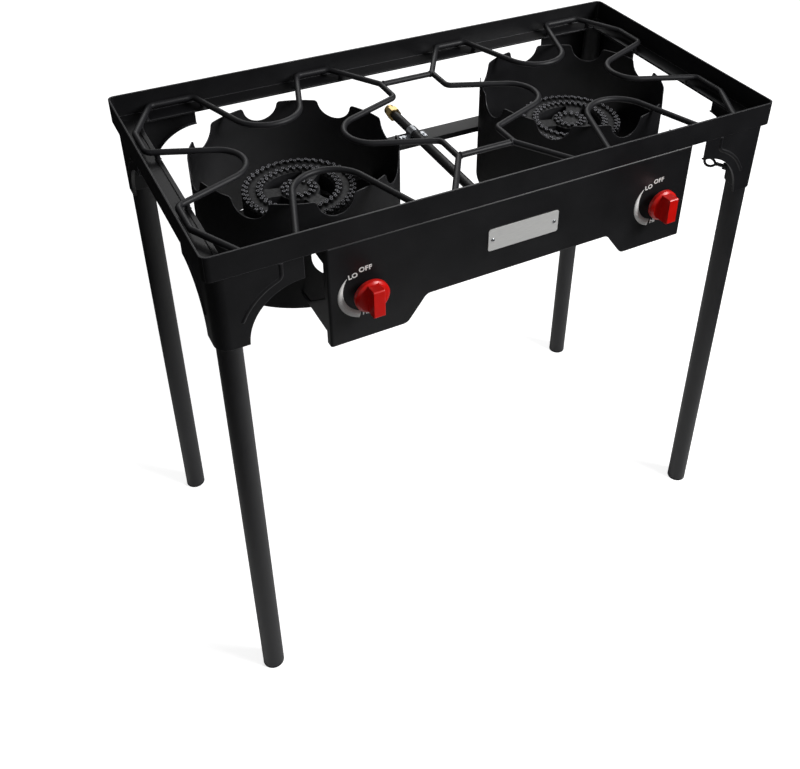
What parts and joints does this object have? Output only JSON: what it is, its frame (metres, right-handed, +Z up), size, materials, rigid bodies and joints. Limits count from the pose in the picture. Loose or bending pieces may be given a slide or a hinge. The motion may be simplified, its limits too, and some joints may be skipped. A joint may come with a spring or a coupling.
{
  "type": "propane burner stand",
  "caption": "Free-standing propane cooking stand: angle rim, pot grates and wind guards over cast burners, front control panel, clamped tube legs",
  "frame": {"origin": "floor level, centred under the whole stand with its knobs", "axes": "+Z up; the control panel faces -Y; +X is to the right of someone who faces the knobs"},
  "size_m": [0.781, 0.434, 0.7239],
  "materials": {
    "rim_powder_coat": "satin black powder coat",
    "leg_powder_coat": "matt dark grey powder coat",
    "grate_powder_coat": "satin black powder coat on round rod",
    "guard_powder_coat": "satin black powder coat on thin sheet",
    "panel_powder_coat": "satin black powder coat with a white dial print",
    "foot_plastic": "matt dark grey",
    "black_steel": "black oxide",
    "cast_iron": "black enamel over rough casting, slightly glossy",
    "zinc_plate": "bright zinc plate",
    "plate_aluminium": "brushed, unprinted",
    "brass": "turned brass",
    "pipe_paint": "satin black paint",
    "red_plastic": "glossy moulded red"
  },
  "bodies": {
    "stand": {"rail_front": "rim_powder_coat", "rail_back": "rim_powder_coat", "rail_left": "rim_powder_coat", "rail_right": "rim_powder_coat", "corner_bracket_front_left": "rim_powder_coat", "corner_bracket_front_right": "rim_powder_coat", "corner_bracket_back_left": "rim_powder_coat", "corner_bracket_back_right": "rim_powder_coat", "leg_clip_front_left": "rim_powder_coat", "leg_clip_front_right": "rim_powder_coat", "leg_clip_back_left": "rim_powder_coat", "leg_clip_back_right": "rim_powder_coat", "weld_nuts": "black_steel", "pot_grate_left_front": "grate_powder_coat", "pot_grate_left_back": "grate_powder_coat", "pot_grate_right_front": "grate_powder_coat", "pot_grate_right_back": "grate_powder_coat", "grate_links": "grate_powder_coat", "wind_guard_left": "guard_powder_coat", "wind_guard_right": "guard_powder_coat", "burner_casting_left": "cast_iron", "burner_casting_right": "cast_iron", "burner_strap_left": "guard_powder_coat", "burner_strap_right": "guard_powder_coat", "burner_bolts": "zinc_plate", "control_panel": "panel_powder_coat", "nameplate": "plate_aluminium", "nameplate_rivets": "plate_aluminium", "bonnet_nuts": "zinc_plate", "valve_left": "brass", "valve_right": "brass", "gas_jets": "brass", "manifold_pipe": "pipe_paint", "gas_pipe": "pipe_paint", "inlet_fitting": "brass", "cross_bar": "guard_powder_coat", "pipe_clamp": "zinc_plate", "clamp_screws": "zinc_plate"},
    "leg_front_left": {"leg_front_left": "leg_powder_coat", "foot_plug_front_left": "foot_plastic"},
    "leg_front_right": {"leg_front_right": "leg_powder_coat", "foot_plug_front_right": "foot_plastic"},
    "leg_back_left": {"leg_back_left": "leg_powder_coat", "foot_plug_back_left": "foot_plastic"},
    "leg_back_right": {"leg_back_right": "leg_powder_coat", "foot_plug_back_right": "foot_plastic"},
    "thumbscrew_front_left": {"thumbscrew_front_left": "black_steel"},
    "thumbscrew_front_right": {"thumbscrew_front_right": "black_steel"},
    "thumbscrew_back_left": {"thumbscrew_back_left": "black_steel"},
    "thumbscrew_back_right": {"thumbscrew_back_right": "black_steel"},
    "knob_left": {"knob_left": "red_plastic", "valve_stem_left": "brass"},
    "knob_right": {"knob_right": "red_plastic", "valve_stem_right": "brass"},
    "air_shutter_left": {"air_shutter_left": "zinc_plate"},
    "air_shutter_right": {"air_shutter_right": "zinc_plate"}
  },
  "joints": [
    {"name": "leg_front_left_slide", "type": "slide", "parent": "stand", "child": "leg_front_left", "axis": [0, -0.0105, -0.9999], "range_m": [0, 0.06]},
    {"name": "leg_front_right_slide", "type": "slide", "parent": "stand", "child": "leg_front_right", "axis": [0, -0.0105, -0.9999], "range_m": [0, 0.06]},
    {"name": "leg_back_left_slide", "type": "slide", "parent": "stand", "child": "leg_back_left", "axis": [0, 0.0105, -0.9999], "range_m": [0, 0.06]},
    {"name": "leg_back_right_slide", "type": "slide", "parent": "stand", "child": "leg_back_right", "axis": [0, 0.0105, -0.9999], "range_m": [0, 0.06]},
    {"name": "thumbscrew_front_left_turn", "type": "hinge", "parent": "stand", "child": "thumbscrew_front_left", "pos_m": [-0.369, -0.16599, 0.614], "axis": [0.5, 0.866, 0], "range_deg": [0, 720]},
    {"name": "thumbscrew_front_right_turn", "type": "hinge", "parent": "stand", "child": "thumbscrew_front_right", "pos_m": [0.369, -0.16599, 0.614], "axis": [-0.5, 0.866, 0], "range_deg": [0, 720]},
    {"name": "thumbscrew_back_left_turn", "type": "hinge", "parent": "stand", "child": "thumbscrew_back_left", "pos_m": [-0.369, 0.19601, 0.614], "axis": [0.5, -0.866, 0], "range_deg": [0, 720]},
    {"name": "thumbscrew_back_right_turn", "type": "hinge", "parent": "stand", "child": "thumbscrew_back_right", "pos_m": [0.369, 0.19601, 0.614], "axis": [-0.5, -0.866, 0], "range_deg": [0, 720]},
    {"name": "knob_left_turn", "type": "hinge", "parent": "stand", "child": "knob_left", "pos_m": [-0.2085, -0.19449, 0.621], "axis": [0, -1, 0], "range_deg": [0, 165]},
    {"name": "knob_right_turn", "type": "hinge", "parent": "stand", "child": "knob_right", "pos_m": [0.2085, -0.19449, 0.621], "axis": [0, -1, 0], "range_deg": [0, 165]},
    {"name": "air_shutter_left_turn", "type": "hinge", "parent": "stand", "child": "air_shutter_left", "pos_m": [-0.2085, -0.12579, 0.621], "axis": [0, -1, 0], "range_deg": [0, 90]},
    {"name": "air_shutter_right_turn", "type": "hinge", "parent": "stand", "child": "air_shutter_right", "pos_m": [0.2085, -0.12579, 0.621], "axis": [0, -1, 0], "range_deg": [0, 90]}
  ]
}
